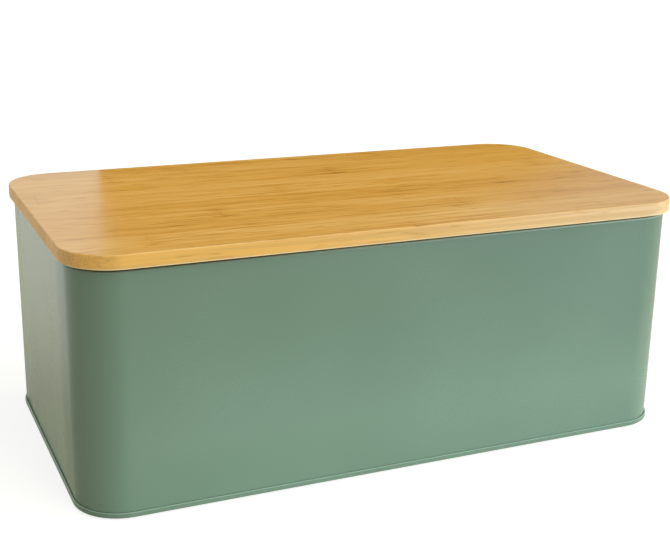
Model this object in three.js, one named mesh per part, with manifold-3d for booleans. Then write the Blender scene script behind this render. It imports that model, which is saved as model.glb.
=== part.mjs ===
// A bread bin: a rounded-rectangle sheet-steel body with a lift-off bamboo board for a lid.
//
// The wall is one strip of thin steel, wrapped round and locked to itself by a folded seam up the back.
// Its top edge is rolled inwards. Its lower edge is hooked into the edge of the pressed base pan: the
// wall's hook and the pan's hook hold each other in a five-layer double seam, the fine rim at the foot.
// Four pads are stuck under the pan. The lid is edge-glued from bamboo staves that run lengthwise. Its
// underside is rebated in two steps all round: a seat that bears on the rolled edge, and a plug inside the
// seat that drops into the mouth of the body.
//
// Millimetres, +Z up. The origin is on the table under the middle of the bin, with its front towards -Y.
import * as THREE from "three";
import { mergeVertices } from "three/addons/utils/BufferGeometryUtils.js";
import Module from "manifold-3d";

// --- Driving dimensions -------------------------------------------------------------------------------

const BODY_LENGTH = 338;
const BODY_DEPTH = 183;
const BODY_HEIGHT = 124; // from the lower edge of the foot seam to the top of the rolled edge
const CORNER_RADIUS = 24; // of the wall's outer face
const CORNER_STEPS = 10;

const SHEET = 0.3; // thickness of the steel, paint included
const SEAM_GAP = 0.02; // lacquer between the layers of the double seam
const SEAM_HEIGHT = 2.7;
const SEAM_EDGE_RADIUS = 0.35; // bend of the pan's sheet at the two lower edges of the seam
const HOOK_OVERLAP = 1.1; // how far the wall's hook and the pan's hook reach past each other

const ROLL_RADIUS = 1.6; // outer radius of the rolled top edge
const ROLL_TURN = 285; // degrees that the sheet turns through in the roll

const LOCK_SEAM_WIDTH = 5; // folded band up the inside of the back
const LOCK_SEAM_LAYERS = 3; // layers that it adds inside the wall
const LOCK_LINE_WIDTH = 0.4; // shallow line that the fold leaves outside
const LOCK_LINE_DEPTH = 0.14;

const FLOOR_HEIGHT = 3.4; // middle of the pan's sheet in the trough along the wall, above the seam's foot
const FLOOR_RISE = 1.1; // the pan's middle field stands this much higher
const FLOOR_BEND = 1.2;
const TROUGH_WIDTH = 7;

const PAD_DIAMETER = 14;
const PAD_STAND = 0.6; // how far the pads hold the seam off the table
const PAD_EDGE = 0.6; // rounding of a pad's lower edge
const PAD_INSET = 22; // pad centre from the wall's outer face, both ways
const PAD_STEPS = 24;

const LID_OVERHANG = 2.5; // past the wall all round
const LID_CORNER_RADIUS = 26;
const LID_CORNER_STEPS = 12;
const LID_LIP = 7.2; // thickness of the part that shows
const LID_SEAT = 0.05; // slack between the lid and the crest of the rolled edge
const LID_RELIEF = 1; // the lip's underside is this much higher than the seat, which leaves a fine dark line
const SEAT_EDGE = 0.9; // the seat ends this far inside the wall's outer face
const LID_EDGE = 0.7; // rounding of the lip's upper edge, which is sanded
const LID_FOOT_EDGE = 0.3; // rounding of its lower edge, which is only eased
const PLUG_DEPTH = 5;
const PLUG_CLEARANCE = 0.8; // from the rolled edge
const PLUG_CHAMFER = 1;
const STAVE_WIDTH = 19.8;
const FRONT_STAVE_WIDTH = 9.8; // the front stave is ripped narrower when the board is cut to size
const GLUE_LINE = 0.04;

// --- Materials ----------------------------------------------------------------------------------------

const sagePaint = () => new THREE.MeshStandardMaterial({ color: 0x7a9981, roughness: 0.45, metalness: 0 });
const bamboo = (tone) =>
  new THREE.MeshStandardMaterial({ color: new THREE.Color(0xd6a862).multiplyScalar(tone), roughness: 0.4 });
const padRubber = () => new THREE.MeshStandardMaterial({ color: 0x34373a, roughness: 0.8 });

// --- Bent sheet and swept rims ------------------------------------------------------------------------

// Follows the middle of a bent sheet across a section: straight runs, and bends of a mid-sheet radius.
// Sections are drawn with x outwards from the wall's outer face and y up. Positive bends turn left.
class SheetPath {
  constructor(x, y, headingDegrees) {
    this.at = new THREE.Vector2(x, y);
    this.heading = THREE.MathUtils.degToRad(headingDegrees);
    this.stops = [];
    this.mark();
  }

  mark() {
    this.stops.push({ at: this.at.clone(), heading: this.heading });
  }

  direction(turn = 0) {
    return new THREE.Vector2(Math.cos(this.heading + turn), Math.sin(this.heading + turn));
  }

  run(length) {
    this.at.addScaledVector(this.direction(), length);
    this.mark();
    return this;
  }

  bend(radius, degrees, steps) {
    const side = Math.sign(degrees) * (Math.PI / 2);
    const centre = this.at.clone().addScaledVector(this.direction(side), radius);
    for (let i = 0; i < steps; i++) {
      this.heading += THREE.MathUtils.degToRad(degrees) / steps;
      this.at = centre.clone().addScaledVector(this.direction(side), -radius);
      this.mark();
    }
    return this;
  }

  // The section of the sheet itself, anticlockwise: back along the left face, then on along the right.
  section(thickness) {
    const face = (side) =>
      this.stops.map(({ at, heading }) => {
        const normal = heading + side * (Math.PI / 2);
        const offset = new THREE.Vector2(Math.cos(normal), Math.sin(normal));
        return at.clone().addScaledVector(offset, thickness / 2);
      });
    return [...face(1).reverse(), ...face(-1)];
  }
}

// Stations round a rounded rectangle, anticlockwise: the centre of the corner and the outward direction.
function stationsRound(length, depth, radius, steps) {
  const stations = [];
  for (let corner = 0; corner < 4; corner++) {
    const along = corner === 0 || corner === 3 ? 1 : -1;
    const across = corner < 2 ? 1 : -1;
    const centre = new THREE.Vector2(along * (length / 2 - radius), across * (depth / 2 - radius));
    for (let i = 0; i <= steps; i++) {
      const angle = (corner + i / steps) * (Math.PI / 2);
      stations.push({ centre, outward: new THREE.Vector2(Math.cos(angle), Math.sin(angle)) });
    }
  }
  return stations;
}

// Sweeps an anticlockwise section round a rounded rectangle. A closed section makes a ring. An open one
// makes a solid: it starts on the edge of the flat underside and ends on the edge of the flat top.
function sweepRound(section, { length, depth, radius, steps = CORNER_STEPS, closed = true }) {
  const stations = stationsRound(length, depth, radius, steps);
  const positions = [];
  for (const { x, y } of section) {
    for (const { centre, outward } of stations) {
      const point = centre.clone().addScaledVector(outward, radius + x);
      positions.push(point.x, point.y, y);
    }
  }
  const around = stations.length;
  const index = [];
  const bands = closed ? section.length : section.length - 1;
  for (let j = 0; j < bands; j++) {
    const low = j * around;
    const high = ((j + 1) % section.length) * around;
    for (let i = 0; i < around; i++) {
      const next = (i + 1) % around;
      index.push(low + i, low + next, high + next, low + i, high + next, high + i);
    }
  }
  if (!closed) {
    const last = (section.length - 1) * around;
    const outline = stations.map((_, i) => new THREE.Vector2(positions[3 * i], positions[3 * i + 1]));
    for (const [a, b, c] of THREE.ShapeUtils.triangulateShape(outline, [])) {
      index.push(c, b, a, last + a, last + b, last + c);
    }
  }
  const geometry = new THREE.BufferGeometry();
  geometry.setAttribute("position", new THREE.Float32BufferAttribute(positions, 3));
  geometry.setIndex(index);
  return geometry;
}

// --- Booleans -----------------------------------------------------------------------------------------

const wasm = await Module();
wasm.setup();

function toSolid(geometry) {
  const bare = geometry.clone();
  bare.deleteAttribute("normal");
  bare.deleteAttribute("uv");
  const merged = mergeVertices(bare, 1e-4);
  const vertProperties = new Float32Array(merged.attributes.position.array);
  const triVerts = new Uint32Array(merged.index.array);
  return new wasm.Manifold(new wasm.Mesh({ numProp: 3, vertProperties, triVerts }));
}

function toGeometry(solid) {
  const { vertProperties, triVerts } = solid.getMesh();
  const geometry = new THREE.BufferGeometry();
  geometry.setAttribute("position", new THREE.BufferAttribute(vertProperties, 3));
  geometry.setIndex(new THREE.BufferAttribute(triVerts, 1));
  return geometry;
}

// A block between two corners.
function block([x0, y0, z0], [x1, y1, z1]) {
  const geometry = new THREE.BoxGeometry(x1 - x0, y1 - y0, z1 - z0);
  return geometry.translate((x0 + x1) / 2, (y0 + y1) / 2, (z0 + z1) / 2);
}

function piece(name, geometry, material) {
  geometry.computeVertexNormals();
  const mesh = new THREE.Mesh(geometry, material);
  mesh.name = name;
  return mesh;
}

// --- The double seam at the foot ----------------------------------------------------------------------

// Five layers side by side, counted outwards from the wall, which is layer 0: the pan's upstand is layer
// -1, the pan's hook is layer 1, the wall's hook is layer 2 and the pan's outer skin is layer 3.
const LAYER = SHEET + SEAM_GAP;
const layer = (n) => n * LAYER - SHEET / 2;
const seamFoot = PAD_STAND;
const seamTop = seamFoot + SEAM_HEIGHT;
const bodyTop = seamFoot + BODY_HEIGHT;

// The wall's lower fold turns about the end of the pan's hook, and the pan's upper fold about the wall's.
const wallFoldCentre = seamFoot + SHEET + SEAM_GAP + LAYER + SHEET / 2;
const panFoldCentre = seamTop - LAYER - SHEET / 2;
const seamMiddle = (wallFoldCentre + panFoldCentre) / 2;
const wallHookEnd = seamMiddle + HOOK_OVERLAP / 2;
const panHookEnd = seamMiddle - HOOK_OVERLAP / 2;

const rim = { length: BODY_LENGTH, depth: BODY_DEPTH, radius: CORNER_RADIUS };

// --- Body wall ----------------------------------------------------------------------------------------

// From the end of its hook the wall goes down, folds under, climbs to the mouth and rolls inwards.
function bodyWall() {
  const rollBend = ROLL_RADIUS - SHEET / 2;
  const rollCentre = bodyTop - ROLL_RADIUS;
  const path = new SheetPath(layer(2), wallHookEnd, -90)
    .run(wallHookEnd - wallFoldCentre)
    .bend(LAYER, -180, 6)
    .run(rollCentre - wallFoldCentre)
    .bend(rollBend, ROLL_TURN, 13);
  const shell = toSolid(sweepRound(path.section(SHEET), rim));

  // The lock seam: folded layers inside the middle of the back, and a fine sunk line outside it.
  const inner = BODY_DEPTH / 2 - SHEET;
  const foldLow = wallFoldCentre + HOOK_OVERLAP + 3;
  const foldHigh = rollCentre - ROLL_RADIUS - 1;
  const half = LOCK_SEAM_WIDTH / 2;
  const folds = block(
    [-half, inner - LOCK_SEAM_LAYERS * SHEET, foldLow],
    [half, inner + SHEET / 2, foldHigh],
  );
  const line = block(
    [half - LOCK_LINE_WIDTH, BODY_DEPTH / 2 - LOCK_LINE_DEPTH, foldLow],
    [half, BODY_DEPTH / 2 + 1, foldHigh],
  );
  const seamed = shell.add(toSolid(folds)).subtract(toSolid(line));
  return piece("body_wall", toGeometry(seamed), sagePaint());
}

// --- Base pan -----------------------------------------------------------------------------------------

// From the end of its hook the pan's edge climbs, folds outwards and down round the wall's hook, crosses
// under the seam, climbs inside the wall, and turns in to the floor, whose middle field is set up.
function basePan() {
  const upstand = layer(-1);
  const crossing = layer(3) - upstand - 2 * SEAM_EDGE_RADIUS;
  const underside = seamFoot + SHEET / 2;
  const floorLevel = seamFoot + FLOOR_HEIGHT;
  const riseAngle = 45;
  const riseBend = FLOOR_RISE / 2 / (1 - Math.cos(THREE.MathUtils.degToRad(riseAngle)));
  const path = new SheetPath(layer(1), panHookEnd, 90)
    .run(panFoldCentre - panHookEnd)
    .bend(LAYER, -180, 6)
    .run(panFoldCentre - underside - SEAM_EDGE_RADIUS)
    .bend(SEAM_EDGE_RADIUS, -90, 3)
    .run(crossing)
    .bend(SEAM_EDGE_RADIUS, -90, 3)
    .run(floorLevel - FLOOR_BEND - underside - SEAM_EDGE_RADIUS)
    .bend(FLOOR_BEND, 90, 4)
    .run(TROUGH_WIDTH)
    .bend(riseBend, -riseAngle, 3)
    .bend(riseBend, riseAngle, 3);
  const geometry = sweepRound(path.section(SHEET), { ...rim, closed: false });
  return piece("base_pan", geometry, sagePaint());
}

// --- Pads ---------------------------------------------------------------------------------------------

// A turned pad with a rounded lower edge, from the table to just under the pan's middle field.
function pad(name, x, y) {
  const height = seamFoot + FLOOR_HEIGHT + FLOOR_RISE - SHEET / 2 - SEAM_GAP;
  const radius = PAD_DIAMETER / 2;
  const edge = new THREE.Path();
  edge.moveTo(0, 0);
  edge.lineTo(radius - PAD_EDGE, 0);
  edge.absarc(radius - PAD_EDGE, PAD_EDGE, PAD_EDGE, -Math.PI / 2, 0, false);
  edge.lineTo(radius - PAD_EDGE / 2, height);
  edge.lineTo(0, height);
  const turned = new THREE.LatheGeometry(edge.getPoints(3), PAD_STEPS).rotateX(Math.PI / 2);
  const mesh = piece(name, toGeometry(toSolid(turned)), padRubber());
  mesh.position.set(x, y, 0);
  return mesh;
}

// --- Lid ----------------------------------------------------------------------------------------------

// The whole board, stepped twice underneath: inside the lip a seat that bears on the crest of the rolled
// edge, and inside the seat a plug that follows the mouth of the body. Both follow the body's own outline.
function boardSolid() {
  const seat = bodyTop + LID_SEAT;
  const lipBottom = seat + LID_RELIEF;
  const lipTop = lipBottom + LID_LIP;
  const lip = new THREE.Path();
  lip.moveTo(-LID_FOOT_EDGE, lipBottom);
  lip.absarc(-LID_FOOT_EDGE, lipBottom + LID_FOOT_EDGE, LID_FOOT_EDGE, -Math.PI / 2, 0, false);
  lip.absarc(-LID_EDGE, lipTop - LID_EDGE, LID_EDGE, 0, Math.PI / 2, false);
  const lipRim = {
    length: BODY_LENGTH + 2 * LID_OVERHANG,
    depth: BODY_DEPTH + 2 * LID_OVERHANG,
    radius: LID_CORNER_RADIUS,
    steps: LID_CORNER_STEPS,
    closed: false,
  };
  const plugSide = -(2 * ROLL_RADIUS + PLUG_CLEARANCE);
  const plugFoot = seat - PLUG_DEPTH;
  const steps = [
    new THREE.Vector2(plugSide - PLUG_CHAMFER, plugFoot),
    new THREE.Vector2(plugSide, plugFoot + PLUG_CHAMFER),
    new THREE.Vector2(plugSide, seat),
    new THREE.Vector2(-SEAT_EDGE, seat),
    new THREE.Vector2(-SEAT_EDGE, lipBottom + LID_LIP / 2),
  ];
  const lipSolid = toSolid(sweepRound(lip.getPoints(4), lipRim));
  return lipSolid.add(toSolid(sweepRound(steps, { ...rim, closed: false })));
}

// The board is sawn from glued staves, so each stave is the board between two glue lines.
function lid() {
  const group = new THREE.Group();
  const board = boardSolid();
  const front = -BODY_DEPTH / 2 - LID_OVERHANG;
  const back = -front;
  const reach = BODY_LENGTH;
  const tones = [1, 0.96, 1.03, 0.98, 1.01, 0.95, 1.02, 0.99, 0.97, 1.02];
  let near = front;
  let far = front + FRONT_STAVE_WIDTH;
  for (let i = 0; near < back - GLUE_LINE; i++) {
    const low = i === 0 ? near - 1 : near + GLUE_LINE / 2;
    const high = far > back - GLUE_LINE ? back + 1 : far - GLUE_LINE / 2;
    const slab = toSolid(block([-reach, low, 0], [reach, high, 2 * BODY_HEIGHT]));
    const name = `lid_stave_${String(i + 1).padStart(2, "0")}`;
    group.add(piece(name, toGeometry(board.intersect(slab)), bamboo(tones[i % tones.length])));
    near = far;
    far = near + STAVE_WIDTH;
  }
  return group;
}

// --- Assembly -----------------------------------------------------------------------------------------

const breadBin = new THREE.Group();

const bin = new THREE.Group();
bin.add(bodyWall(), basePan());
const padX = BODY_LENGTH / 2 - PAD_INSET;
const padY = BODY_DEPTH / 2 - PAD_INSET;
bin.add(pad("pad_front_left", -padX, -padY));
bin.add(pad("pad_front_right", padX, -padY));
bin.add(pad("pad_back_left", -padX, padY));
bin.add(pad("pad_back_right", padX, padY));

breadBin.add(bin, lid());

export default breadBin;
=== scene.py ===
# %% [markdown]
# # A sage-green bread bin with a bamboo board for a lid
#
# The bin is a rounded box of thin sheet steel, spray-painted a satin sage green. Its foot is a folded
# double seam and its mouth is rolled inwards. The lid is a board glued up from ten bamboo staves. All of
# these pieces come ready-made at their real size from the CAD model, so this lesson only finishes them:
# it smooths their shading, paints and oils them, and lights them on a plain pale table.

# %% Load the frame
import math
import random

import bpy
from mathutils import Matrix, Vector


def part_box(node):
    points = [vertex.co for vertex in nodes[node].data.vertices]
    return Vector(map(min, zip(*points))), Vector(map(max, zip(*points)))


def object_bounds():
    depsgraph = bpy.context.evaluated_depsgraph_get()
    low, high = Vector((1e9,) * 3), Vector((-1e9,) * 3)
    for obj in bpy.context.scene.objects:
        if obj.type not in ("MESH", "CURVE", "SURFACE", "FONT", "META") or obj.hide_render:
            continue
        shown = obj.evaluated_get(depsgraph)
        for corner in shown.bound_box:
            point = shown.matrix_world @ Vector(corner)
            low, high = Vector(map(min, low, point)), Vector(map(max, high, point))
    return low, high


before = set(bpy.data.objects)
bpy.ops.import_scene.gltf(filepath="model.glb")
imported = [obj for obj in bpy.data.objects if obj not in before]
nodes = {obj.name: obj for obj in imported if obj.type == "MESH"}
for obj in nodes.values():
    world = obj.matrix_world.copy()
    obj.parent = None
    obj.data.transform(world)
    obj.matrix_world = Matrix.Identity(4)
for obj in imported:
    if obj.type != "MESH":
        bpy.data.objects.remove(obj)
cad_low, cad_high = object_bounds()
staves = sorted(name for name in nodes if name.startswith("lid_stave"))
pads = sorted(name for name in nodes if name.startswith("pad_"))
MM = 0.001
print("pieces:", len(nodes), "with", len(staves), "staves and", len(pads), "pads")
print("size in mm:", [round(side / MM, 2) for side in cad_high - cad_low])

# %% [markdown]
# ## Writing nodes as sums
#
# A finish is easier to read as arithmetic than as a web of nodes. `Wire` stands for one output of a node:
# adding, subtracting or scaling wires adds the Math node that does it, or the Vector Math node where the
# wire carries a vector or a colour. The operators are written both ways round, so that `1 - dust` works as
# well as `dust - 1`.


# %% Wires
class Wire:
    """One output of a node, written in sums like a number or a vector."""

    def __init__(self, recipe, socket):
        self.recipe = recipe
        self.socket = socket

    def output(self, name):
        """Another output of the same node."""
        return Wire(self.recipe, self.socket.node.outputs[name])

    def worked(self, operation, *terms):
        """The result of an operation on these terms, as a new wire."""
        many = self.socket.type in ("VECTOR", "RGBA")
        kind = "ShaderNodeVectorMath" if many else "ShaderNodeMath"
        return self.recipe.node(kind, {"operation": operation}, dict(enumerate(terms)))

    def __add__(self, other):
        return self.worked("ADD", self, other)

    def __radd__(self, other):
        return self.worked("ADD", other, self)

    def __sub__(self, other):
        return self.worked("SUBTRACT", self, other)

    def __rsub__(self, other):
        return self.worked("SUBTRACT", other, self)

    def __mul__(self, other):
        return self.worked("MULTIPLY", self, other)

    def __rmul__(self, other):
        return self.worked("MULTIPLY", other, self)

    def __abs__(self):
        return self.worked("ABSOLUTE", self)


print("wires can be added, subtracted, multiplied and made positive")

# %% [markdown]
# ## Recipes
#
# `Recipe` holds a node tree. Its method `node` makes any node from its type, its settings and what goes
# into its sockets. The settings come first, because they decide which sockets the node shows. The few
# nodes that every finish needs again and again, such as noise, get short methods of their own.


# %% Recipes
class Recipe:
    """A node tree that is built from wires."""

    def __init__(self, tree):
        self.tree = tree
        self.tree.nodes.clear()

    def node(self, kind, settings=None, sockets=None, output=0):
        """Adds a node, and gives back one of its outputs if it has any."""
        made = self.tree.nodes.new(kind)
        for setting, value in (settings or {}).items():
            if setting == "stops":
                self.fill_ramp(made.color_ramp, value)
            else:
                setattr(made, setting, value)
        for key, value in (sockets or {}).items():
            self.feed(self.pick(made.inputs, key), value)
        return Wire(self, self.pick(made.outputs, output)) if made.outputs else None

    def pick(self, sockets, key):
        """The socket of that name, or of that number, among those that the node's settings leave open."""
        usable = [socket for socket in sockets if socket.enabled]
        if isinstance(key, int):
            return usable[key]
        return next(socket for socket in usable if socket.name == key)

    def feed(self, socket, value):
        """Links a wire to a socket, or writes a constant into it in the form that it takes."""
        if isinstance(value, Wire):
            self.tree.links.new(value.socket, socket)
        elif socket.type == "VECTOR" and not hasattr(value, "__len__"):
            socket.default_value = (value, value, value)
        elif socket.type == "RGBA" and len(value) == 3:
            socket.default_value = (*value, 1)
        else:
            socket.default_value = value

    def fill_ramp(self, ramp, stops):
        """A new ramp has two stops, so any more are added before all are set."""
        for place, colour in stops[2:]:
            ramp.elements.new(place)
        for element, (place, colour) in zip(ramp.elements, stops):
            element.position = place
            element.color = (*colour, 1)

    def split(self, vector):
        """The three numbers of a vector."""
        x = self.node("ShaderNodeSeparateXYZ", {}, {0: vector}, "X")
        return x, x.output("Y"), x.output("Z")

    def step(self, value, low, high):
        """0 below low, 1 above high, and a slope with soft ends between."""
        settings = {"interpolation_type": "SMOOTHSTEP"}
        return self.node("ShaderNodeMapRange", settings, {"Value": value, "From Min": low, "From Max": high})

    def band(self, value, rise, fall):
        """0, then 1, then 0 again: it comes up across the range rise and goes down across the range fall."""
        return self.step(value, *rise) * (1 - self.step(value, *fall))

    def noise(self, place, detail=2.0, roughness=0.5, output="Fac"):
        """Cloudy noise about one unit across, from 0 to 1."""
        sockets = {"Vector": place, "Scale": 1.0, "Detail": detail, "Roughness": roughness}
        return self.node("ShaderNodeTexNoise", {}, sockets, output)

    def mix(self, factor, first, second):
        """The first colour where the factor is 0, the second where it is 1."""
        sockets = {"Factor": factor, "A": first, "B": second}
        return self.node("ShaderNodeMix", {"data_type": "RGBA"}, sockets)

    def bump(self, height, strength, distance, under=None):
        """A normal that shows a height from 0 to 1 as that distance, on top of the normal under it."""
        sockets = {"Height": height, "Strength": strength, "Distance": distance}
        if under is not None:
            sockets["Normal"] = under
        return self.node("ShaderNodeBump", {}, sockets)


print("a recipe has short methods to split, step, band, mix, and for noise and bumps")

# %% [markdown]
# ## Smooth bends, crisp folds
#
# The CAD pieces arrive as loose flat triangles, so every bend of the sheet would show its facets. We could
# model the bends again with more faces, but their size is right already: only the shading has to flow
# round them. A small Geometry Nodes modifier joins the triangles, drops the flat normals that they carry,
# and smooths every edge except those that turn sharply, such as the cut edge of the sheet. Then a
# Weighted Normal modifier lets the large flat faces rule, so a flat side stays flat right up to its bend.

# %% Smooth the CAD pieces without moving them
WELD_DISTANCE = 0.001 * MM
SHARP_TURN = math.radians(40)
FLAT_FACE_WEIGHT = 100


def smoothing_group():
    group = bpy.data.node_groups.new("smooth_the_bends", "GeometryNodeTree")
    group.interface.new_socket("Geometry", in_out="INPUT", socket_type="NodeSocketGeometry")
    group.interface.new_socket("Geometry", in_out="OUTPUT", socket_type="NodeSocketGeometry")
    recipe = Recipe(group)
    mesh = recipe.node("NodeGroupInput")
    mesh = recipe.node("GeometryNodeMergeByDistance", {}, {"Geometry": mesh, "Distance": WELD_DISTANCE})
    mesh = recipe.node("GeometryNodeRemoveAttribute", {}, {"Geometry": mesh, "Name": "custom_normal"})
    mesh = recipe.node("GeometryNodeSetShadeSmooth", {}, {"Geometry": mesh, "Shade Smooth": True})
    angle = recipe.node("GeometryNodeInputMeshEdgeAngle", {}, {}, "Unsigned Angle")
    steep = recipe.node("FunctionNodeCompare", {"operation": "GREATER_THAN"}, {"A": angle, "B": SHARP_TURN})
    crisp = {"Geometry": mesh, "Selection": steep, "Shade Smooth": False}
    mesh = recipe.node("GeometryNodeSetShadeSmooth", {"domain": "EDGE"}, crisp)
    recipe.node("NodeGroupOutput", {}, {"Geometry": mesh})
    return group


smooth_the_bends = smoothing_group()
for piece in nodes.values():
    smoothing = piece.modifiers.new("smooth_the_bends", "NODES")
    smoothing.node_group = smooth_the_bends
    weighting = piece.modifiers.new("flat_faces_rule", "WEIGHTED_NORMAL")
    weighting.mode = "FACE_AREA"
    weighting.weight = FLAT_FACE_WEIGHT
    weighting.keep_sharp = True
print("smoothed", len(nodes), "pieces")

# %% [markdown]
# ## Putting a finish on a piece
#
# Paint, oiled wood and rubber all end in the same Principled shader. They differ in what goes into it: a
# colour, a roughness and a normal that change from place to place. The IOR is about the same for all
# three, and stays a constant.

# %% Start a finish, end it, and put it on
IOR = 1.5


def new_finish(name):
    """A material, and the recipe of its node tree."""
    material = bpy.data.materials.new(name)
    material.use_nodes = True
    return material, Recipe(material.node_tree)


def object_place(recipe):
    """Where a point lies on its piece, in metres, with the piece's normal as another output."""
    return recipe.node("ShaderNodeTexCoord", {}, {}, "Object")


def coat_with(recipe, colour, roughness, normal):
    """Ends a finish: everything it is made of goes into one Principled shader."""
    sockets = {"Base Color": colour, "Roughness": roughness, "IOR": IOR, "Normal": normal}
    shader = recipe.node("ShaderNodeBsdfPrincipled", {}, sockets)
    recipe.node("ShaderNodeOutputMaterial", {}, {"Surface": shader})


def dress(name, finish):
    """Puts a finish on the piece of that name."""
    slots = nodes[name].data.materials
    slots.clear()
    slots.append(finish)
    print(name, "wears", finish.name)


print("every finish has an IOR of", IOR)

# %% [markdown]
# ## Sage paint
#
# The steel is sprayed and baked, a satin coat that follows the sheet closely. It isn't perfectly even: it
# dries to a faint orange peel, the sheet under it is a touch wavy, and the gloss is a little uneven. One
# flat colour would look like plastic, and a picture of paint would stretch round the bends. So the paint is
# worked out in three dimensions from the place of each point, which has no seams and needs no unwrapping.
#
# A place can also carry painted shade or a painted highlight, and the sheet under it can swell. The wall and
# the pan say where, as the next steps show, and the recipe itself stays the same for both.

# %% Mix the paint
PAINT_THIN = (0.143, 0.232, 0.150)
PAINT_THICK = (0.158, 0.252, 0.165)
CLOUDS_PER_METRE = 14.0
SPECKLES_PER_METRE = 2600.0
WAVES_PER_METRE = 9.0
WAVE_HEIGHT = 0.6 * MM
PEEL_PER_METRE = 700.0
PEEL_HEIGHT = 0.03 * MM
SWELL_HEIGHT = 3 * MM


def sage_paint(name, painted_light, swelling=None):
    """The paint; the second argument lists its painted shades and highlights, each as its amount at a place,
    from 0 to 1, and its colour.
    """
    material, recipe = new_finish(name)
    place = object_place(recipe)
    x, y, z = recipe.split(place)
    cloud = recipe.noise(place * CLOUDS_PER_METRE, detail=1.0)
    speckle = recipe.noise(place * SPECKLES_PER_METRE)
    thickness = cloud * 0.7 + speckle * 0.3
    colour = recipe.mix(recipe.step(thickness, 0.3, 0.7), PAINT_THIN, PAINT_THICK)
    for amount, mark_colour in painted_light:
        colour = recipe.mix(amount(recipe, x, y, z), colour, mark_colour)

    surface = recipe.bump(swelling(recipe, x, y, z), 1.0, SWELL_HEIGHT) if swelling else None
    waves = recipe.noise(place * WAVES_PER_METRE, detail=0.0)
    surface = recipe.bump(waves, 0.5, WAVE_HEIGHT, surface)
    peel = recipe.noise(place * PEEL_PER_METRE, detail=1.0)
    surface = recipe.bump(peel, 0.14, PEEL_HEIGHT, surface)
    coat_with(recipe, colour, 0.22 + 0.06 * cloud + 0.03 * speckle, surface)
    return material


print("paint mixed, from", PAINT_THIN, "where thin to", PAINT_THICK, "where thick")

# %% [markdown]
# ## The wall
#
# The wall is one strip of sheet, wrapped round, hooked into the seam at the foot and rolled in at the top.
# Four things keep it from looking like a perfect box. At the left end the fold above the seam is painted a
# dull brown, painted shade in the crease. Just under the lid a pale line is painted on the shoulder of the
# roll, stronger towards the right: a painted highlight. On the crest above it a thin brown line is painted,
# stronger at the left end: painted shade in the gap under the lid. And the flat of each end has no exact
# line
# where it turns into its bends: it swells a little towards them. That swell is far too slight to model, so a
# Bump node shows it.

# %% Paint the wall
wall_low, wall_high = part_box("body_wall")
SEAM_TOP = 3.3 * MM
BEND_RADIUS = 24 * MM
SWELL_REACH = 22 * MM
SHOULDER_RISE = (wall_high.z - 1.35 * MM, wall_high.z - 0.95 * MM)
SHOULDER_FALL = (wall_high.z - 0.5 * MM, wall_high.z - 0.25 * MM)
# the dull brown of the painted shade in the creases at the foot
PAINTED_SHADE_BROWN = (0.22, 0.22, 0.15)
# the colour of the painted highlight on the shoulder of the roll
SHOULDER_HIGHLIGHT = (0.44, 0.60, 0.47)
# the colour of the painted shade in the gap under the lid
GAP_SHADE_BROWN = (0.050, 0.027, 0.008)


def wall_fold_painted_shade(recipe, x, y, z):
    """Painted shade, a dull brown in the fold just above the seam, at the left end only."""
    above_fold = recipe.step(z, SEAM_TOP + 0.3 * MM, SEAM_TOP + 0.9 * MM)
    past_end = recipe.step(x, wall_low.x + 1 * MM, wall_low.x + 4 * MM)
    return 0.45 * (1 - above_fold) * (1 - past_end)


def shoulder_painted_highlight(recipe, x, y, z):
    """A painted highlight: a band about half a millimetre high on the shoulder of the roll."""
    shoulder = recipe.band(z, SHOULDER_RISE, SHOULDER_FALL)
    return shoulder * (0.1 + 0.8 * recipe.step(x, wall_low.x, wall_high.x))


def crest_painted_shade(recipe, x, y, z):
    """Painted shade in the gap under the lid, on the crest of the roll and just under it, stronger at the
    left end.
    """
    crest = recipe.step(z, wall_high.z - 0.6 * MM, wall_high.z - 0.3 * MM)
    return crest * (0.6 - 0.35 * recipe.step(x, -110 * MM, -40 * MM))


def end_swelling(recipe, x, y, z):
    """Falls off smoothly where the flat of an end nears its bends."""
    bend = wall_high.y - BEND_RADIUS
    return 1 - recipe.step(abs(y), bend - SWELL_REACH, bend + SWELL_REACH)


# the painted shade and painted highlight on the wall
wall_painted_light = ((wall_fold_painted_shade, PAINTED_SHADE_BROWN), (shoulder_painted_highlight, SHOULDER_HIGHLIGHT), (crest_painted_shade, GAP_SHADE_BROWN))
dress("body_wall", sage_paint("sage_paint_wall", wall_painted_light, end_swelling))

# %% [markdown]
# ## The pan
#
# The pan's edge is folded round the wall's and makes the outside of the seam. Its crest is the tightest fold
# of the bin, and one fine pale line is painted on it, a painted highlight. The lower edge, which almost
# touches the table, is painted a dull brown: painted shade.

# %% Paint the pan
CREST_RISE = (SEAM_TOP - 0.45 * MM, SEAM_TOP - 0.1 * MM)
CREST_FALL = (SEAM_TOP + 0.1 * MM, SEAM_TOP + 0.2 * MM)
# the colour of the painted highlight on the crest of the seam
CREST_HIGHLIGHT = (0.29, 0.41, 0.31)


def seam_foot_painted_shade(recipe, x, y, z):
    """Painted shade, a dull brown on the lower edge of the seam, near the table."""
    return 0.3 * (1 - recipe.step(z, 0.6 * MM, 1.1 * MM))


def seam_crest_painted_highlight(recipe, x, y, z):
    """A painted highlight on the crest of the seam."""
    return 0.8 * recipe.band(z, CREST_RISE, CREST_FALL)


# the painted shade and painted highlight on the pan
pan_painted_light = ((seam_foot_painted_shade, PAINTED_SHADE_BROWN), (seam_crest_painted_highlight, CREST_HIGHLIGHT))
dress("base_pan", sage_paint("sage_paint_pan", pan_painted_light))

# %% [markdown]
# ## Where the knuckles of the bamboo fall
#
# A bamboo culm has a knuckle every 30 cm or so, which stays as a thin brown line across a stave. Each stave
# comes from another culm, so its knuckles fall at other places. Random places could put two side by
# side; a fixed shift from stave to stave never does.

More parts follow.
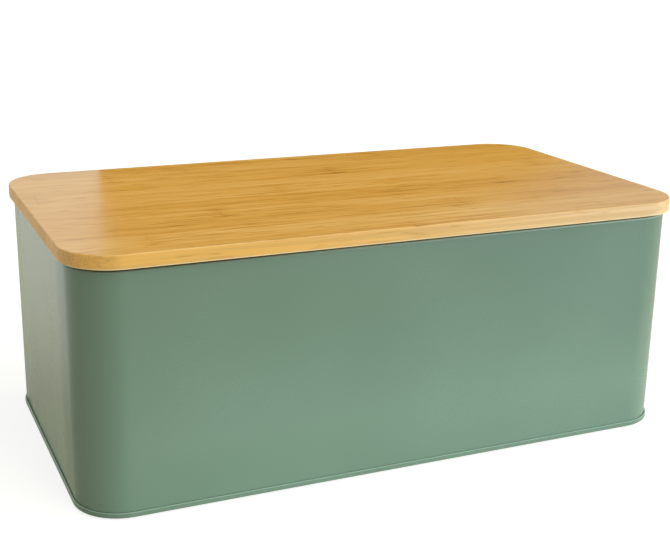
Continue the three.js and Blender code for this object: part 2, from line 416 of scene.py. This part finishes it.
# %% Place the knuckles
KNUCKLE_SPACING = 310 * MM
KNUCKLE_SHIFT = 179 * MM
FIRST_KNUCKLE = 2 * MM


def knuckles(number, half_length):
    """The places along a stave where the culm had a knuckle."""
    found = []
    start = FIRST_KNUCKLE + number * KNUCKLE_SHIFT
    start -= KNUCKLE_SPACING * math.floor((start + half_length) / KNUCKLE_SPACING)
    while start < half_length:
        found.append(start)
        start += KNUCKLE_SPACING
    return found


half_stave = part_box(staves[0])[1].x
for number, name in enumerate(staves):
    print(name, "has knuckles at mm", [round(place / MM) for place in knuckles(number, half_stave)])

# %% [markdown]
# ## The marks in the wood
#
# A stave is sawn lengthwise from the wall of a culm. Its wood is bundles of fibres that all run along the
# stave: on the broad faces they show as fine streaks, veins and short dark dashes, and on the cut ends as
# dots. A picture of wood would show streaks on the ends too. So the wood is worked out as a solid: noise
# that is squeezed across the stave and stretched along it gives streaks on the faces and dots on the ends.
#
# Each row below is one kind of mark: how many of them there are in a metre along the stave and across it,
# how much detail and roughness the noise has, and whether it follows the wandering of the fibres.

# %% Grow the marks
MARKS = {
    "drift": (7.0, 40.0, 1.0, 0.5, False),
    "patches": (12.0, 60.0, 0.0, 0.5, False),
    "bend": (20.0, 320.0, 1.0, 0.5, False),
    "broad": (4.0, 210.0, 1.0, 0.5, True),
    "streaks": (7.0, 520.0, 1.0, 0.5, True),
    "veins": (22.0, 360.0, 1.5, 0.5, True),
    "dashes": (60.0, 560.0, 1.0, 0.5, True),
    "fibres": (22.0, 1500.0, 2.0, 0.6, True),
}
WANDERS_PER_METRE = (14.0, 90.0, 90.0)
WANDER_REACH = (0.0, 1.6 * MM, 1.6 * MM)
KNUCKLE_BEND = 3 * MM


def grow_marks(recipe, place, shift):
    """Every kind of mark as noise from 0 to 1, read at a spot of the noise that is this stave's own."""
    wander = recipe.noise(place * WANDERS_PER_METRE + shift, detail=1.0, output="Color")
    wandering_place = place + (wander - 0.5) * WANDER_REACH
    marks = {}
    for name, (along, across, detail, roughness, wandering) in MARKS.items():
        start = wandering_place if wandering else place
        marks[name] = recipe.noise(start * (along, across, across) + shift, detail, roughness)
    return marks


def knuckle_marks(recipe, along, bend, places):
    """The thin line of every knuckle, and the band of denser wood round it."""
    line = 0.0
    scar = 0.0
    for place in places:
        away = abs(along - place + (bend - 0.5) * KNUCKLE_BEND)
        line = line + (1 - recipe.step(away, 0.2 * MM, 1.1 * MM))
        scar = scar + (1 - recipe.step(away, 1 * MM, 12 * MM))
    return line, scar


print("kinds of marks:", ", ".join(MARKS))

# %% [markdown]
# ## The faces of the board
#
# The board was planed flat, sawn to its outline, sanded round its edge and oiled, and each of these leaves
# the same wood looking different. The sawn edge is paler, because sanding closes its pores. The ends show
# cut fibres, which drink more oil. The arris between top and edge and the eased lower edge are painted
# lighter: painted highlights. The underside got little oil and is dull. Which of them a point belongs to
# follows from where its surface faces, with no need to mark faces by hand.
#
# The normal's three numbers say that: its Z is 1 on the top, -1 underneath and 0 on the sawn edge, and its
# X is 1 or -1 on the ends.

# %% Tell the faces apart
LIP_BOTTOM = wall_high.z + 1.05 * MM


def tell_faces(recipe, place):
    """How far a point belongs to each kind of face, from 0 to 1."""
    towards_end, _, rise = recipe.split(place.output("Normal"))
    height = recipe.split(place)[2]
    upward = abs(rise)
    endward = abs(towards_end)
    side = 1 - recipe.step(upward, 0.45, 0.9)
    above_foot = recipe.step(height, LIP_BOTTOM + 0.4 * MM, LIP_BOTTOM + 0.75 * MM)
    return {
        "side": side,
        "end": side * recipe.step(endward, 0.25, 0.72),
        "squarely_end": recipe.step(endward, 0.6, 0.98),
        "very_end": recipe.step(endward, 0.85, 0.98),
        # the eased lower edge, which gets a painted highlight
        "foot": side * (1 - above_foot),
        # the arris between top and edge, which gets a painted highlight
        "arris": recipe.band(upward, (0.1, 0.4), (0.8, 0.99)),
        "under": 1 - recipe.step(rise, -0.9, -0.4),
    }


print("the lip's lower edge is at mm", round(LIP_BOTTOM / MM, 2))

# %% [markdown]
# ## The colour of a stave
#
# All marks first add up to one number, the tone, and a colour ramp turns that into wood: dark brown, then
# brown, honey and pale straw. So wherever marks cross, the colour stays a colour of bamboo, which it would
# not if each mark brought a paint of its own. The grain is bold in the middle of the board and calmer at its
# ends, where the culms were younger.
#
# The sawn edges and the ends are then mixed over it, with their own stripes and dots.

# %% Colour the wood
WOOD_STOPS = (
    (0.0, (0.27, 0.12, 0.022)),
    (0.3, (0.52, 0.255, 0.040)),
    (0.58, (0.69, 0.380, 0.076)),
    (1.0, (0.87, 0.60, 0.22)),
)
BOLD_FROM = (-150 * MM, -105 * MM)
CALM_FROM = (30 * MM, 120 * MM)
SANDED_LEFT = (0.93, 0.52, 0.11)
SANDED_RIGHT = (0.95, 0.71, 0.39)
SAWN_STRIPE = (0.58, 0.33, 0.09)
CUT_CORNER_HIGHLIGHT = (1.0, 0.57, 0.125)
CUT_END = (0.90, 0.53, 0.19)
CUT_BUNDLE = (0.66, 0.27, 0.05)
OIL_BLOTCH = (0.46, 0.26, 0.08)
EASED_EDGE_HIGHLIGHT = (0.98, 0.82, 0.46)


def wood_tone(recipe, along, marks, dash, line, scar, arris):
    """The marks added up: about 0 in the darkest fibre and 1 in the palest."""
    vein = recipe.step(marks["veins"], 0.53, 0.66)
    boldness = 0.42 + 0.58 * recipe.step(along, *BOLD_FROM) - 0.45 * recipe.step(along, *CALM_FROM)
    fine = 0.55 * (marks["streaks"] - 0.5) + 0.6 * (marks["fibres"] - 0.5) - 0.22 * vein + 0.07
    slow = 0.16 * (marks["drift"] - 0.5) + 0.24 * (marks["broad"] - 0.5)
    # the arris adds a painted highlight to the tone
    return 0.57 + slow + boldness * fine - 0.26 * dash - 0.09 * line - 0.05 * scar + 0.2 * arris


def edge_colours(recipe, along, wood, marks, dash, faces):
    """The sawn edges, the cut ends and the eased lower edge, mixed over the colour of the broad faces, with
    painted highlights on the ends' rounded corners and on the eased lower edge.
    """
    sanded = recipe.mix(recipe.step(along, -100 * MM, 200 * MM), SANDED_LEFT, SANDED_RIGHT)
    wood = recipe.mix(faces["side"] * (0.8 - 0.3 * dash), wood, sanded)
    stripe = recipe.step(marks["streaks"] + 0.7 * marks["fibres"], 0.78, 1.0)
    wood = recipe.mix(0.34 * faces["side"] * stripe, wood, SAWN_STRIPE)

    pores = recipe.step(marks["fibres"], 0.35, 0.62)
    # painted highlight: the rounded corners of the ends are painted brighter than their flat middles
    cut = recipe.mix(faces["squarely_end"], CUT_CORNER_HIGHLIGHT, CUT_END)
    wood = recipe.mix(faces["end"] * (0.82 - 0.4 * pores), wood, cut)
    bundle = recipe.step(0.4 * marks["streaks"] + marks["fibres"], 0.66, 0.86)
    wood = recipe.mix(0.3 * faces["end"] * bundle, wood, CUT_BUNDLE)
    blotch = recipe.step(marks["patches"], 0.52, 0.68) * faces["very_end"]
    wood = recipe.mix(0.3 * faces["end"] * blotch, wood, OIL_BLOTCH)
    # painted highlight: the eased lower edge is painted pale
    return recipe.mix(0.7 * faces["foot"], wood, EASED_EDGE_HIGHLIGHT)


print("wood runs from", WOOD_STOPS[0][1], "to", WOOD_STOPS[-1][1])

# %% [markdown]
# ## Oil the staves
#
# Each stave now gets a finish of its own: another spot of the noise, other knuckles, and a shade that is
# added to its tone. The oil leaves a low gloss, duller on the sanded edges and dullest underneath. The bump
# is only as deep as real pores, a few hundredths of a millimetre.

# %% Finish every stave
STAVE_SHADES = (0.0, 0.09, -0.05, 0.0, -0.07, 0.02, -0.01, -0.03, 0.0, -0.05)
FIRST_SEED = 400
PORE_DEPTH = 0.06 * MM


def bamboo_stave(number, half_length):
    material, recipe = new_finish(f"bamboo_{number + 1:02d}")
    luck = random.Random(FIRST_SEED + number)
    shift = tuple(luck.uniform(3, 60) for _ in range(3))
    place = object_place(recipe)
    along = recipe.split(place)[0]
    marks = grow_marks(recipe, place, shift)
    faces = tell_faces(recipe, place)
    line, scar = knuckle_marks(recipe, along, marks["bend"], knuckles(number, half_length))
    dash = recipe.step(marks["dashes"] + 0.12 * marks["patches"] + 0.07 * scar, 0.66, 0.8)

    tone = STAVE_SHADES[number] + wood_tone(recipe, along, marks, dash, line, scar, faces["arris"])
    wood = recipe.node("ShaderNodeValToRGB", {"stops": WOOD_STOPS}, {"Fac": tone}, "Color")
    wood = edge_colours(recipe, along, wood, marks, dash, faces)

    height = 0.6 * marks["fibres"] + 0.2 * marks["streaks"] - 0.6 * dash - 0.4 * line
    gloss = 0.27 + 0.08 * marks["fibres"] + 0.05 * dash
    gloss = gloss + 0.2 * faces["side"] + 0.05 * faces["end"] + 0.25 * faces["under"]
    coat_with(recipe, wood, gloss, recipe.bump(height, 0.3, PORE_DEPTH))
    return material


for number, name in enumerate(staves):
    dress(name, bamboo_stave(number, half_stave))

# %% [markdown]
# ## Pads
#
# The four pads under the pan are die-cut rubber, dull and dark. Fine speckle in colour and height keeps
# them from looking like flat plastic when the bin is turned over.

# %% Rubber for the pads
RUBBER_BLACK = (0.028, 0.030, 0.032)
RUBBER_GREY = (0.062, 0.066, 0.070)
GRAINS_PER_METRE = 1800.0
SMUDGES_PER_METRE = 160.0
GRAIN_HEIGHT = 0.08 * MM


def pad_rubber():
    material, recipe = new_finish("pad_rubber")
    place = object_place(recipe)
    grit = recipe.noise(place * GRAINS_PER_METRE, detail=3.0)
    smudge = recipe.noise(place * SMUDGES_PER_METRE)
    colour = recipe.mix(0.6 * grit + 0.4 * smudge, RUBBER_BLACK, RUBBER_GREY)
    coat_with(recipe, colour, 0.68 + 0.2 * smudge, recipe.bump(grit, 0.5, GRAIN_HEIGHT))
    return material


rubber = pad_rubber()
for name in pads:
    dress(name, rubber)

# %% [markdown]
# ## The table
#
# The bin stands on a plain pale table in front of plain white. If the table were only painted white, it
# would have to be lit very brightly to look white, and the bin with it. Instead the table answers three
# kinds of light rays differently, which the Light Path node tells apart. The camera sees it give off
# light of its own, with the bin's shadow still on it. The light that it throws back onto the bin is that of
# a plain pale table, without any glow.
#
# Reflections in the bin see it a little warmer and dimmer than the camera does. Beside the left end it is
# painted dimmest, a painted shade where the bin keeps light off it, over the real shadow there, and it turns
# to a plainer white far behind, so that the left end doesn't look as if it mirrored the same light all the
# way up. Each of these colours is a pair: the table's paint, and what it gives off.

# %% Lay the table
TABLE_REACH = 40.0
PAINT_FOR_LIGHT = (0.42, 0.41, 0.37)
PAINT_IN_VIEW = (0.38, 0.37, 0.33)
WHITE = (1.0, 1.0, 1.0)
GLOW_IN_VIEW = 0.77
GLOW_IN_GLOSS = 0.41
GLOSS_IN_FRONT = ((0.75, 0.73, 0.57), (0.85, 0.81, 0.63))
GLOSS_PAINTED_SHADE_BESIDE = ((0.66, 0.64, 0.50), (0.70, 0.68, 0.52))
GLOSS_FAR_BEHIND = ((0.84, 0.83, 0.77), (1.0, 0.99, 0.94))


def glowing(recipe, paint, glow_colour, glow):
    """A dull paint that gives off some light of its own too."""
    dull = recipe.node("ShaderNodeBsdfDiffuse", {}, {"Color": paint})
    light = recipe.node("ShaderNodeEmission", {}, {"Color": glow_colour, "Strength": glow})
    return recipe.node("ShaderNodeAddShader", {}, {0: dull, 1: light})


def table_in_gloss(recipe):
    """The table as reflections see it."""
    x, y, _ = recipe.split(object_place(recipe))
    # painted shade: reflections see the table dimmer beside the bin's left end
    beside = recipe.step(y, -0.11, 0.0)
    far_behind = (1 - recipe.step(x, -0.30, -0.18)) * recipe.step(y, -0.02, 0.16)
    pair = []
    for in_front, at_end, behind in zip(GLOSS_IN_FRONT, GLOSS_PAINTED_SHADE_BESIDE, GLOSS_FAR_BEHIND):
        near = recipe.mix(beside, in_front, at_end)
        pair.append(recipe.mix(far_behind, near, behind))
    return glowing(recipe, *pair, GLOW_IN_GLOSS)


def table_finish():
    material, recipe = new_finish("pale_table")
    lit = recipe.node("ShaderNodeBsdfDiffuse", {}, {"Color": PAINT_FOR_LIGHT})
    in_gloss = table_in_gloss(recipe)
    in_view = glowing(recipe, PAINT_IN_VIEW, WHITE, GLOW_IN_VIEW)
    camera_ray = recipe.node("ShaderNodeLightPath", {}, {}, "Is Camera Ray")
    gloss_ray = camera_ray.output("Is Glossy Ray") + camera_ray.output("Is Transmission Ray")
    seen = recipe.node("ShaderNodeMixShader", {}, {0: gloss_ray, 1: lit, 2: in_gloss})
    seen = recipe.node("ShaderNodeMixShader", {}, {0: camera_ray, 1: seen, 2: in_view})
    recipe.node("ShaderNodeOutputMaterial", {}, {"Surface": seen})
    return material


def flat_sheet(name, ring, finish):
    """One four-cornered face, as studio equipment that is no part of the bin."""
    mesh = bpy.data.meshes.new(name)
    mesh.from_pydata(ring, [], [(0, 1, 2, 3)])
    mesh.materials.append(finish)
    sheet = bpy.data.objects.new(name, mesh)
    bpy.context.scene.collection.objects.link(sheet)
    return sheet


corners = [(-1, -1), (1, -1), (1, 1), (-1, 1)]
flat_sheet("table", [(x * TABLE_REACH, y * TABLE_REACH, cad_low.z) for x, y in corners], table_finish())
print("the table reaches", TABLE_REACH, "m each way")

# %% [markdown]
# ## The white surround
#
# The world is plain white wherever it is seen, directly, in a reflection or through glass. As a lamp it is
# much dimmer: there it is the even light that a white room adds from all sides.

# %% Surround the bin with white
AMBIENT = 0.40

world = bpy.data.worlds.new("studio")
world.use_nodes = True
bpy.context.scene.world = world
surround = Recipe(world.node_tree)
seen_ray = surround.node("ShaderNodeLightPath", {}, {}, "Is Camera Ray")
seen_ray = seen_ray + seen_ray.output("Is Glossy Ray") + seen_ray.output("Is Transmission Ray")
ambient = surround.node("ShaderNodeBackground", {}, {"Color": WHITE, "Strength": AMBIENT})
white = surround.node("ShaderNodeBackground", {}, {"Color": WHITE, "Strength": 1.0})
both = surround.node("ShaderNodeMixShader", {}, {0: seen_ray, 1: ambient, 2: white})
surround.node("ShaderNodeOutputWorld", {}, {"Surface": both})
print("the ambient light is", AMBIENT, "of full white")

# %% [markdown]
# ## The key and the back light
#
# The key is one large soft lamp in front, to the right and above. A sun lamp with a wide disc does this:
# its edges are as soft as a big softbox's, and because it has no falloff the table stays evenly white as
# far as it reaches. A second, weaker one from behind lights the lid's far part and rounds off the box.
# Each arrow below points to its lamp and is as long as the lamp is strong, so that with the ambient light a
# colour renders about as it is written. Neither lamp shows in reflections: there the white room does.

# %% Hang the key and the back light
KEY_LIGHT = Vector((0.45, -0.38, 0.40))
KEY_DISC = math.radians(76)
BACK_LIGHT = Vector((-0.05, 0.30, 0.12))
BACK_DISC = math.radians(40)


def hang(name, data, back):
    """Puts a lamp in the scene with its back turned in a direction, so that it shines the other way."""
    lamp = bpy.data.objects.new(name, data)
    lamp.rotation_euler = back.to_track_quat("Z", "Y").to_euler()
    lamp.visible_glossy = False
    bpy.context.scene.collection.objects.link(lamp)
    return lamp


def hang_sun(name, arrow, disc):
    data = bpy.data.lights.new(name, "SUN")
    data.energy = math.pi * arrow.length
    data.angle = disc
    hang(name, data, arrow)
    print(name, "gives", round(arrow.length, 2), "of full white")


hang_sun("key", KEY_LIGHT, KEY_DISC)
hang_sun("back_light", BACK_LIGHT, BACK_DISC)

# %% [markdown]
# ## Two low panels
#
# A white table and a window give the lower part of a box a cool tint, stronger towards the light. Two weak
# bluish panels add it: a fill far in front of the right end, and a skirt, a narrow strip that lies low
# along the front and lights the foot of the wall. A stronger blue world would tint all sides.

# %% Set up the panels
FILL_COLOUR = (0.38, 0.52, 1.0)
FILL_SIZE = (0.5, 0.1)
FILL_WATTS = 1.0
FILL_PLACE = Vector((0.36, -0.58, 0.06))
FILL_AIM = Vector((0.05, -0.09, 0.05))
SKIRT_COLOUR = (0.75, 0.87, 1.0)
SKIRT_SIZE = (0.5, 0.023)
SKIRT_WATTS = 0.11
SKIRT_PLACE = Vector((0.10, -0.175, 0.012))
SKIRT_AIM = SKIRT_PLACE + Vector((0, 1, 0))


def hang_panel(name, colour, size, watts, place, aim):
    data = bpy.data.lights.new(name, "AREA")
    data.shape = "RECTANGLE"
    data.size, data.size_y = size
    data.energy = watts
    data.color = colour
    lamp = hang(name, data, place - aim)
    lamp.location = place
    lamp.visible_camera = False
    print(name, "of", watts, "W stands at", [round(value, 3) for value in place])


hang_panel("fill", FILL_COLOUR, FILL_SIZE, FILL_WATTS, FILL_PLACE, FILL_AIM)
hang_panel("skirt", SKIRT_COLOUR, SKIRT_SIZE, SKIRT_WATTS, SKIRT_PLACE, SKIRT_AIM)

# %% [markdown]
# ## The honey card
#
# The oiled lid is a mirror at a low angle: a loaf of bread that lies at its back shows in it as a golden
# band. There is no loaf here, and painting the band on the wood would be wrong from every other side. So an
# upright card stands behind the lid, as it would in a studio. It is honey-coloured, turns to a cool beige on
# a slant at the right, and only reflections see it.

# %% Stand up the honey card
CARD_NEAR = (0.72, 0.34, 0.02)
CARD_FAR = (0.66, 0.58, 0.62)
CARD_SLANT = 2.0
CARD_HEIGHT = 0.14
CARD_Y = 0.13
CARD_FROM_X = -0.107
CARD_TO_X = 0.6
TURN_FROM_X = 0.275
TURN_TO_X = 0.365
lid_top = cad_high.z


def card_finish():
    material, recipe = new_finish("honey_card")
    x, _, z = recipe.split(object_place(recipe))
    slanted = x + CARD_SLANT * (z - lid_top)
    colour = recipe.mix(recipe.step(slanted, TURN_FROM_X, TURN_TO_X), CARD_NEAR, CARD_FAR)
    dull = recipe.node("ShaderNodeBsdfDiffuse", {}, {"Color": colour})
    recipe.node("ShaderNodeOutputMaterial", {}, {"Surface": dull})
    return material


low_edge = [(CARD_FROM_X, CARD_Y, lid_top), (CARD_TO_X, CARD_Y, lid_top)]
high_edge = [(x, y, z + CARD_HEIGHT) for x, y, z in reversed(low_edge)]
card = flat_sheet("honey_card", low_edge + high_edge, card_finish())
card.visible_camera = False
card.visible_diffuse = False
card.visible_shadow = False
print("the card is", CARD_TO_X - CARD_FROM_X, "m long and", CARD_HEIGHT, "m high")

# %% [markdown]
# ## The camera
#
# The camera stands in front and to the left, a little above the lid, and looks down at the bin. Its place
# is worked out from the middle of the bin: how far round it stands, how far up, how far away, and how much
# it is tilted on its own axis.

# %% Set up the camera
YAW = math.radians(-23.920)
PITCH = math.radians(16.711)
ROLL = math.radians(0.941)
DISTANCE = 0.68525
LENS = 63.13
NEAREST_SEEN = 0.01
AIM_ABOVE_MIDDLE = Vector((0.0011, 0.0042, 0.0143))

camera_data = bpy.data.cameras.new("camera")
camera_data.lens = LENS
camera_data.clip_start = NEAREST_SEEN
camera = bpy.data.objects.new("camera", camera_data)
round_the_bin = Matrix.Rotation(YAW, 4, "Z")
down_at_it = Matrix.Rotation(math.pi / 2 - PITCH, 4, "X")
tilted = Matrix.Rotation(ROLL, 4, "Z")
turn = round_the_bin @ down_at_it @ tilted
aim = (cad_low + cad_high) / 2 + AIM_ABOVE_MIDDLE
backwards = turn.to_3x3() @ Vector((0, 0, 1))
camera.matrix_world = Matrix.Translation(aim + backwards * DISTANCE) @ turn
bpy.context.scene.collection.objects.link(camera)
bpy.context.scene.camera = camera
bpy.context.scene.view_settings.view_transform = "Standard"
print("camera at", [round(value, 4) for value in camera.location])
